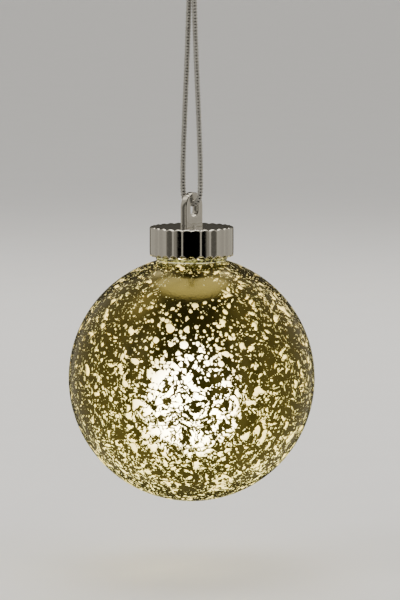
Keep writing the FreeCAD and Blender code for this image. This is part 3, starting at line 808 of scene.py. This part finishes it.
def facet_slope(offset):
    """How far the wall's normal runs ahead of its angle, for an angle measured from a ridge."""
    half = math.pi / FLUTES
    if abs(offset) < RIDGE_LAND:
        return (LAND_TURN - RIDGE_LAND) * offset / RIDGE_LAND
    side = math.copysign(1.0, offset)
    return (LAND_TURN - RIDGE_LAND) * side * (half - abs(offset)) / (half - RIDGE_LAND)


def wall_profile(steps):
    """The wall's radius at even steps over one facet, from ridge to ridge."""
    pitch = 2 * math.pi / FLUTES
    radius, radii = CAP_RADIUS, [CAP_RADIUS]
    for i in range(steps):
        middle = pitch * (i + 0.5) / steps
        offset = middle if middle < pitch / 2 else middle - pitch
        radius -= radius * math.tan(facet_slope(offset)) * pitch / steps
        radii.append(radius)
    return radii


def make_cap():
    """The fluted cap: convex facets that meet in ridges, a scalloped crest and skirt, roof and bore."""
    per_facet = 24
    count = FLUTES * per_facet
    radii = wall_profile(per_facet)
    hole = STUD_RADIUS + 0.05 * MM
    dish = CAP_TOP - CAP_DISH
    roof = CAP_TOP - CAP_ROOF
    rows = []
    for i in range(count):
        angle = turn_share(i + per_facet / 2, count)
        step = i % per_facet
        share, wall = 1 - abs(2 * step / per_facet - 1), radii[step]
        crest = CAP_TOP - CREST * (1 - math.sin(share * math.pi / 2))
        skirt = CAP_FOOT + 0.12 * MM + SKIRT_RISE * math.cos(share * math.pi / 2)
        column = [
            (hole, dish),
            (wall - 4.0 * MM, dish),
            (wall - 3.6 * MM, dish + 0.005 * MM),
            *((wall - inwards * MM, crest - down * MM) for inwards, down in CREST_EDGE),
            (wall, skirt + 0.35 * MM),
            (wall, skirt + 0.12 * MM),
            (wall - 0.03 * MM, skirt),
            (wall - 0.12 * MM, skirt - (skirt - CAP_FOOT) * 0.2),
            (wall - 0.62 * MM, CAP_FOOT + 0.05 * MM),
            (wall - 0.7 * MM, CAP_FOOT),
            (CAP_BORE + 0.05 * MM, CAP_FOOT),
            (CAP_BORE, CAP_FOOT + 0.05 * MM),
            (CAP_BORE, roof),
            (RIB_OUT, roof),
            (RIB_OUT, roof - RIB_HEIGHT),
            (RIB_IN, roof - RIB_HEIGHT),
            (RIB_IN, roof),
            (hole, roof),
        ]
        rows.append([polar(radius, angle, z) for radius, z in column])
    steps = len(rows[0])
    vertices = [v for column in rows for v in column]
    faces = []
    for i in range(count):
        j = (i + 1) % count
        for k in range(steps):
            m = (k + 1) % steps
            faces.append((i * steps + k, j * steps + k, j * steps + m, i * steps + m))
    piece = mesh_object("cap_fluted", vertices, faces)
    smooth_by_angle(piece, 42)
    set_material(piece, CHROME)
    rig.ride(piece, "cap")
    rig.replaces(piece, "cap_shell")
    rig.slot(piece, "chrome_plate")


# ---------------------------------------------------------------------------------------------
# Hanging eye


def arch_points(half_width, foot, crown, round_foot=False, steps=40):
    """An upright outline with a half-round top and a flat or half-round foot, in X and Z."""
    if round_foot:
        points = arc(0, foot + half_width, half_width, -180, 0, steps)
    else:
        points = [(-half_width, foot), (half_width, foot)]
    return points + arc(0, crown - half_width, half_width, 0, 180, steps)


def make_eye():
    """The arched eye: a thick plate with its slot, rounded all round on both faces."""
    curve = bpy.data.curves.new("eye_outline", "CURVE")
    curve.dimensions = "2D"
    curve.fill_mode = "BOTH"
    curve.extrude = EYE_THICKNESS / 2 - EYE_ROUNDING
    curve.bevel_depth = EYE_ROUNDING
    curve.bevel_resolution = 6
    curve.offset = -EYE_ROUNDING
    slot_top = EYE_TOP - EYE_BAR
    outlines = (
        arch_points(EYE_HALF_WIDTH, EYE_FOOT - EYE_ROUNDING, EYE_TOP),
        arch_points(SLOT_HALF_WIDTH, EYE_FOOT + SLOT_SILL, slot_top, round_foot=True),
    )
    for outline in outlines:
        spline = curve.splines.new("POLY")
        spline.points.add(len(outline) - 1)
        for point, (x, z) in zip(spline.points, outline):
            point.co = (x, z, 0, 1)
        spline.use_cyclic_u = True
    mesh = mesh_from_curve(curve)
    mesh.transform(Matrix.Rotation(math.pi / 2, 4, "X"))
    piece = add_piece("hanging_eye_arch", mesh, merge=0.002 * MM)
    smooth_by_angle(piece, 40)
    set_material(piece, CHROME)
    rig.ride(piece, "cap")
    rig.replaces(piece, "hanging_eye")
    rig.slot(piece, "chrome_plate")

    stud_foot = low("hanging_eye").z
    stud_top = CAP_TOP + EYE_ROUNDING
    stud = revolve(
        "eye_stud",
        [
            (0, stud_top),
            (STUD_RADIUS, stud_top),
            (STUD_RADIUS, stud_foot + STUD_CHAMFER),
            (STUD_RADIUS - STUD_CHAMFER, stud_foot),
            (0, stud_foot),
        ],
        48,
    )
    smooth_by_angle(stud)
    set_material(stud, CHROME)
    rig.ride(stud, "cap")
    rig.slot(stud, "chrome_plate")


# ---------------------------------------------------------------------------------------------
# Neck collar with its thread


def make_collar():
    """The threaded collar: a thin sleeve with a round thread of 3 mm pitch."""
    crest = (high("neck_collar").x - low("neck_collar").x) / 2
    root = crest - THREAD_DEPTH
    bore = NECK_RADIUS + 0.05 * MM
    foot, top = low("neck_collar").z, high("neck_collar").z
    run_out = 0.5 * MM
    segments, levels = 160, 48
    vertices = []
    for k in range(levels + 1):
        z = foot + (top - foot) * k / levels
        fade = min(1.0, (z - foot) / run_out, (top - z) / run_out)
        for i in range(segments):
            turn = (z - foot) / THREAD_PITCH - i / segments
            wave = 0.5 + 0.5 * math.cos(2 * math.pi * turn)
            radius = root + (crest - root) * max(0.0, fade) * wave**1.5
            vertices.append(polar(radius, turn_share(i, segments), z))
    for z in (top, foot):
        vertices.extend(polar(bore, turn_share(i, segments), z) for i in range(segments))
    piece = mesh_object("neck_collar_thread", vertices, ring_faces(levels + 3, segments, closed=True))
    smooth_by_angle(piece, 60)
    set_material(piece, BLACK)
    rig.ride(piece, "ball")
    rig.replaces(piece, "neck_collar")
    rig.slot(piece, "black_plastic")


# ---------------------------------------------------------------------------------------------
# Cord

# One leg of the cord, in mm: places that pull it in Y and Z, from the knot down to the eye's bar. At
# the foot two of them cut the corner, so that the cord turns round the bar in an even arc.
LEG_REACH = 4.15
LEG_FOOT = -88.95
CORNER_CUT = LEG_REACH * (2 - math.sqrt(2))
CORD_LEG = (
    (1.22, -3.4),
    (1.3, -12.0),
    (3.95, -66.0),
    (LEG_REACH, -75.0),
    (LEG_REACH, LEG_FOOT + CORNER_CUT),
    (LEG_REACH - CORNER_CUT, LEG_FOOT),
)
BRAID_PITCH = 2.5 * MM
BRAID_STEP = 0.12 * MM
STRAND_RADIUS = 0.32 * MM
STRAND_ORBIT = 0.81 * MM
STRAND_WEAVE = 0.07 * MM
STRAND_SIDES = 10
CORE_RADIUS = 0.5 * MM


def cord_line():
    """The smooth line of the cord, from the same points as its tube in the CAD model."""
    down = [(0.0, -y, z) for y, z in CORD_LEG]
    up = [(0.0, y, z) for y, z in reversed(CORD_LEG)]
    return smooth_line([Vector(p) * MM for p in down + up], 40)


def even_steps(line, step):
    """The same line with its points a step apart."""
    points, carry = [line[0].copy()], 0.0
    for a, b in zip(line, line[1:]):
        length = (b - a).length
        while carry + length >= step:
            share = (step - carry) / length
            a = a.lerp(b, share)
            points.append(a.copy())
            length = (b - a).length
            carry = 0.0
        carry += length
    if (points[-1] - line[-1]).length > step / 4:
        points.append(line[-1].copy())
    return points


def braid(line, phase=0.0):
    """A round braid along a line: two strands wind one way and two the other, round a core. Each vertex keeps its rise
    out of the crease for the cord's painted shade; the core has none, so it is painted as dark as the deepest crease.
    """
    points = even_steps(line, BRAID_STEP)
    normal = None
    strands = [[] for _ in range(4)]
    travelled = 0.0
    for i, point in enumerate(points):
        before = points[max(i - 1, 0)]
        after = points[min(i + 1, len(points) - 1)]
        tangent = (after - before).normalized()
        if normal is None:
            normal = tangent.orthogonal().normalized()
        normal = (normal - tangent * normal.dot(tangent)).normalized()
        side = tangent.cross(normal)
        if i:
            travelled += (point - before).length
        turn = 2 * math.pi * travelled / BRAID_PITCH
        for k, strand in enumerate(strands):
            way = 1 if k < 2 else -1
            angle = way * turn + math.pi * (k % 2) + phase
            orbit = STRAND_ORBIT + way * STRAND_WEAVE * math.cos(2 * turn)
            strand.append(point + (normal * math.cos(angle) + side * math.sin(angle)) * orbit)
    parts = []
    for strand in strands:
        vertices, faces = tube(strand, STRAND_RADIUS, STRAND_SIDES)
        # the rise sets the painted shade: low in the crease, high on the strands' backs
        rises = []
        for i, vertex in enumerate(vertices):
            rise = (vertex - points[i // STRAND_SIDES]).length
            rises.append(rise / (STRAND_ORBIT + STRAND_RADIUS))
        parts.append((vertices, faces, rises))
    # the core, painted in full shade
    vertices, faces = tube(points[::4] + [points[-1]], CORE_RADIUS, STRAND_SIDES)
    parts.append((vertices, faces, [0.0] * len(vertices)))
    return parts


def make_cord():
    """The cord: down the front leg, under the eye's bar and up the back leg."""
    line = cord_line()
    piece = join_parts("cord_braid", braid(line))
    set_material(piece, CORD)
    length = sum((b - a).length for a, b in zip(line, line[1:]))
    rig.ride(piece, "cord_loop")
    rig.replaces(piece, "cord")
    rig.slot(piece, "metallic_cord")
    return piece, line, length


def make_knot():
    """The knot: both cords go up through it, and both wrap round them once."""
    parts = []
    for side in (-1, 1):
        core = [
            Vector((0.25 * MM * side, 1.2 * MM * side, -KNOT_HALF + 0.6 * MM)),
            Vector((0.6 * MM * side, 1.15 * MM * side, -1.5 * MM)),
            Vector((-0.6 * MM * side, 1.15 * MM * side, 1.5 * MM)),
            Vector((0.0, 1.2 * MM * side, KNOT_HALF - 0.4 * MM)),
        ]
        parts.extend(braid(smooth_line(core), 0.7 * side))
    # each wrap starts and ends tucked in between the cords
    turns, orbit, climb, steps = 1.3, 2.95 * MM, 3.0 * MM, 96
    for lift in (-1.15, 1.15):
        wrap = []
        for i in range(steps + 1):
            share = i / steps
            angle = 2 * math.pi * (turns * share + 0.1)
            tuck = min(1.0, share / 0.12, (1 - share) / 0.12)
            reach = orbit * (0.45 + 0.55 * math.sin(tuck * math.pi / 2))
            z = (share - 0.5) * climb + lift * MM
            wrap.append(Vector((reach * math.cos(angle), reach * 1.08 * math.sin(angle), z)))
        parts.extend(braid(wrap, lift))
    piece = join_parts("cord_knot_wraps", parts)
    set_material(piece, CORD)
    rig.ride(piece, "cord_loop")
    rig.replaces(piece, "cord_knot")
    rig.slot(piece, "metallic_cord")
    return piece


def make_ends():
    """The cord's two ends above the knot."""
    for node, side in (("cord_end_front", -1), ("cord_end_back", 1)):
        start = Vector((0, 1.2 * MM * side, 3.0 * MM))
        way = Vector((0.06 * side, math.sin(TAIL_LEAN) * side, math.cos(TAIL_LEAN)))
        points = [
            start,
            start + way * TAIL_LENGTH * 0.35,
            start + way * TAIL_LENGTH * 0.7 + Vector((0.2 * MM * side, 0.1 * MM * side, 0)),
            start + way * TAIL_LENGTH + Vector((0.1 * MM, 0.0, 0)),
        ]
        piece = join_parts(f"{node}_braid", braid(smooth_line(points), side))
        set_material(piece, CORD)
        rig.ride(piece, "cord_loop")
        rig.replaces(piece, node)
        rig.slot(piece, "metallic_cord")
        yield piece


# ---------------------------------------------------------------------------------------------
# Stage, light and camera


# The view: a long lens, level with the cap's rim.
VIEW_ELEVATION = math.radians(6.4)
VIEW_HEIGHT = 243.9 * MM
CAMERA_DISTANCE = 1.6
SENSOR_WIDTH = 36.0
AIM_RIGHT = 3.4 * MM
AIM_UP = 31.7 * MM
TOWARDS_CAMERA = Vector((
    math.sin(VIEW_AZIMUTH) * math.cos(VIEW_ELEVATION),
    -math.cos(VIEW_AZIMUTH) * math.cos(VIEW_ELEVATION),
    math.sin(VIEW_ELEVATION),
))
CAMERA_RIGHT = Vector((math.cos(VIEW_AZIMUTH), math.sin(VIEW_AZIMUTH), 0))
CAMERA_UP = TOWARDS_CAMERA.cross(CAMERA_RIGHT)

FLOOR_DROP = 30 * MM
FLOOR_RADIUS = 14.0
FLOOR_THICKNESS = 0.01

# The far floor is a little darker than the light that falls on it, so the room is shown so too.
ROOM_COLOUR = rgb(0.80, 0.79, 0.77)
ROOM_LIGHT = 0.85
ROOM_SEEN = 0.72
STUDIO_COLOUR = rgb(1.0, 0.925, 0.755)

# Windows of light in the studio, in degrees: start, stop and softness of the edges. Across is measured
# from the camera's direction to either side, upwards from the level, and back from straight overhead.
# Bands round the object, each with its strength:
BANDS = (
    ((39.5, 155.0, 1.0), 0.24),
    ((48.0, 59.0, 2.5), 0.22),
    ((69.0, 155.0, 2.5), 0.20),
    ((60.5, 67.5, 1.5), -0.14),
    ((89.0, 96.0, 2.5), -0.07),
    ((112.0, 118.0, 2.5), -0.07),
    ((134.0, 140.0, 2.5), -0.06),
    ((155.0, 200.0, 1.0), 0.07),
)
BANDS_RISE = (-62, 62, 8)
# An upright slot on each side of the camera:
SLOT_ACROSS = (20.0, 30.5, 1.2)
SLOT_RISE = (-38, 14, 5)
SLOT_STRENGTH = 0.40
# Light from below:
BELOW_RISE = (-120, -56, 6)
BELOW_STRENGTH = 0.22
# A bowl-shaped light overhead: its middle and half-widths, the power that rounds it, and its front edge:
BOWL_BACK = 31.0
BOWL_DEEP = 34.0
BOWL_WIDE = 21.5
BOWL_POWER = 2.6
BOWL_EDGE = (0.6, 1.15)
BOWL_FRONT = (28.5, 32.5)
BOWL_STRENGTH = 3.1
# A strip behind the bowl, and a soft light to its left:
STRIP_ACROSS = (-17, 17, 4)
STRIP_BACK = (37, 48, 2)
STRIP_STRENGTH = 2.8
GLINT_ACROSS = (-44, -22, 6)
GLINT_BACK = (-4, 22, 8)
GLINT_STRENGTH = 0.75

LIGHT_COLOUR = (1.0, 0.97, 0.92)


def make_floor():
    """A wide pale floor under the ball."""
    floor_z = cad_low.z - FLOOR_DROP
    under_z = floor_z - FLOOR_THICKNESS
    rows = [(0, floor_z), (1.0, floor_z), (FLOOR_RADIUS, floor_z), (FLOOR_RADIUS, under_z), (0, under_z)]
    floor = revolve("floor", rows, 96)
    tree = MaterialTree("pale_floor")
    grain = tree.noise(tree.place(), 30.0, 2.0)
    pale = tree.principled(
        Base_Color=tree.mix(grain, rgb(0.80, 0.79, 0.77), rgb(0.83, 0.82, 0.80)),
        Roughness=0.8,
    )
    set_material(floor, pale)
    floor.visible_glossy = False
    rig.stage(floor)


def studio_light(tree, place):
    """The strength of the studio's light from a direction."""
    x, y, z = tree.axes(place)
    ahead = tree.minus(tree.product(x, math.sin(VIEW_AZIMUTH)), tree.product(y, math.cos(VIEW_AZIMUTH)))
    aside = tree.total(tree.product(x, math.cos(VIEW_AZIMUTH)), tree.product(y, math.sin(VIEW_AZIMUTH)))
    degrees = 180 / math.pi
    turn = tree.product(tree.math("ARCTAN2", tree.absolute(aside), ahead), degrees)
    rise = tree.product(tree.math("ARCSINE", z), degrees)
    back = tree.product(tree.math("ARCTAN2", ahead, z), -degrees)
    across = tree.product(tree.math("ARCSINE", aside), degrees)

    bands = tree.total(*(tree.product(tree.window(turn, *band), strength) for band, strength in BANDS))
    slots = tree.product(tree.window(turn, *SLOT_ACROSS), tree.window(rise, *SLOT_RISE))
    wide = tree.math("DIVIDE", across, BOWL_WIDE)
    deep = tree.math("DIVIDE", tree.minus(back, BOWL_BACK), BOWL_DEEP)
    bowl = tree.total(*(tree.math("POWER", tree.absolute(part), BOWL_POWER) for part in (wide, deep)))
    overhead = tree.product(tree.minus(1.0, tree.span(bowl, *BOWL_EDGE)),
                            tree.minus(1.0, tree.span(back, *BOWL_FRONT)))
    strip = tree.product(tree.window(across, *STRIP_ACROSS), tree.window(back, *STRIP_BACK))
    glint = tree.product(tree.window(across, *GLINT_ACROSS), tree.window(back, *GLINT_BACK))
    return tree.total(
        tree.product(bands, tree.window(rise, *BANDS_RISE)),
        tree.product(slots, SLOT_STRENGTH),
        tree.product(tree.window(rise, *BELOW_RISE), BELOW_STRENGTH),
        tree.product(overhead, BOWL_STRENGTH),
        tree.product(strip, STRIP_STRENGTH),
        tree.product(glint, GLINT_STRENGTH),
    )


def make_world():
    """A pale room to look at, and a dark studio with soft boxes for the mirrors to look at."""
    world = bpy.data.worlds.new("studio")
    bpy.context.scene.world = world
    world.use_nodes = True
    tree = Tree(world.node_tree)
    ray = tree.node("LightPath").outputs
    room, studio, mix = tree.node("Background"), tree.node("Background"), tree.node("MixShader")

    seen = tree.product(ray["Is Camera Ray"], ROOM_LIGHT - ROOM_SEEN)
    tree.feed(room.inputs["Color"], ROOM_COLOUR)
    tree.feed(room.inputs["Strength"], tree.minus(ROOM_LIGHT, seen))
    place = tree.node("TexCoord").outputs["Generated"]
    tree.feed(studio.inputs["Color"], STUDIO_COLOUR)
    tree.feed(studio.inputs["Strength"], studio_light(tree, place))

    tree.feed(mix.inputs[0], ray["Is Glossy Ray"])
    tree.feed(mix.inputs[1], room.outputs[0])
    tree.feed(mix.inputs[2], studio.outputs[0])
    tree.feed(tree.node("OutputWorld").inputs[0], mix.outputs[0])


def around(angle, distance, rise):
    """A place at an angle to the right of the camera's direction, seen from above."""
    turn = VIEW_AZIMUTH + math.radians(angle)
    return Vector((math.sin(turn) * distance, -math.cos(turn) * distance, BALL_Z + rise))


def softbox(name, place, target, size, power):
    """A square light that faces a place and is not seen in mirrors."""
    data = bpy.data.lights.new(name, "AREA")
    data.shape = "RECTANGLE"
    data.size = size
    data.size_y = size
    data.energy = power
    data.color = LIGHT_COLOUR
    light = bpy.data.objects.new(name, data)
    light.location = place
    light.rotation_mode = "QUATERNION"
    light.rotation_quaternion = (target - place).to_track_quat("-Z", "Y")
    light.visible_glossy = False
    bpy.context.scene.collection.objects.link(light)


def make_lights():
    middle = Vector((0, 0, BALL_Z + 0.03))
    for name, place, size, power in (
        ("key_left", around(-60, 1.1, 0.55), 0.6, 5.0),
        ("key_right", around(60, 1.1, 0.55), 0.6, 4.0),
        ("back_left", around(-150, 1.2, 0.7), 0.6, 4.0),
        ("back_right", around(150, 1.2, 0.7), 0.6, 4.0),
        ("overhead", Vector((0, 0, BALL_Z + 1.3)), 0.8, 6.0),
    ):
        softbox(name, place, middle, size, power)


def make_camera():
    target = Vector((0, 0, BALL_Z)) + CAMERA_RIGHT * AIM_RIGHT + CAMERA_UP * AIM_UP
    data = bpy.data.cameras.new("camera")
    data.sensor_fit = "AUTO"
    data.sensor_width = SENSOR_WIDTH
    data.lens = SENSOR_WIDTH * CAMERA_DISTANCE / VIEW_HEIGHT
    camera = bpy.data.objects.new("camera", data)
    camera.location = target + TOWARDS_CAMERA * CAMERA_DISTANCE
    camera.rotation_mode = "QUATERNION"
    camera.rotation_quaternion = (-TOWARDS_CAMERA).to_track_quat("-Z", "Y")
    bpy.context.scene.collection.objects.link(camera)
    bpy.context.scene.camera = camera


# ---------------------------------------------------------------------------------------------
# The whole scene

make_ball()
make_cap()
make_eye()
make_collar()
cord, cord_path, cord_length = make_cord()
knot = make_knot()
ends = list(make_ends())
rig.cord(
    cord,
    exit=cord_path[0],
    length=cord_length,
    diameter=2 * CORD_RADIUS,
    far_end="knot",
    stiffness="medium",
    lay="taut",
    path=cord_path,
    with_pieces=[knot, *ends],
)
make_floor()
make_world()
make_lights()
make_camera()

new_low, new_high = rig.bounds()
with open("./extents.json", "w") as out:
    json.dump({
        "cad": [list(cad_low), list(cad_high)],
        "visual": [list(new_low), list(new_high)],
    }, out)
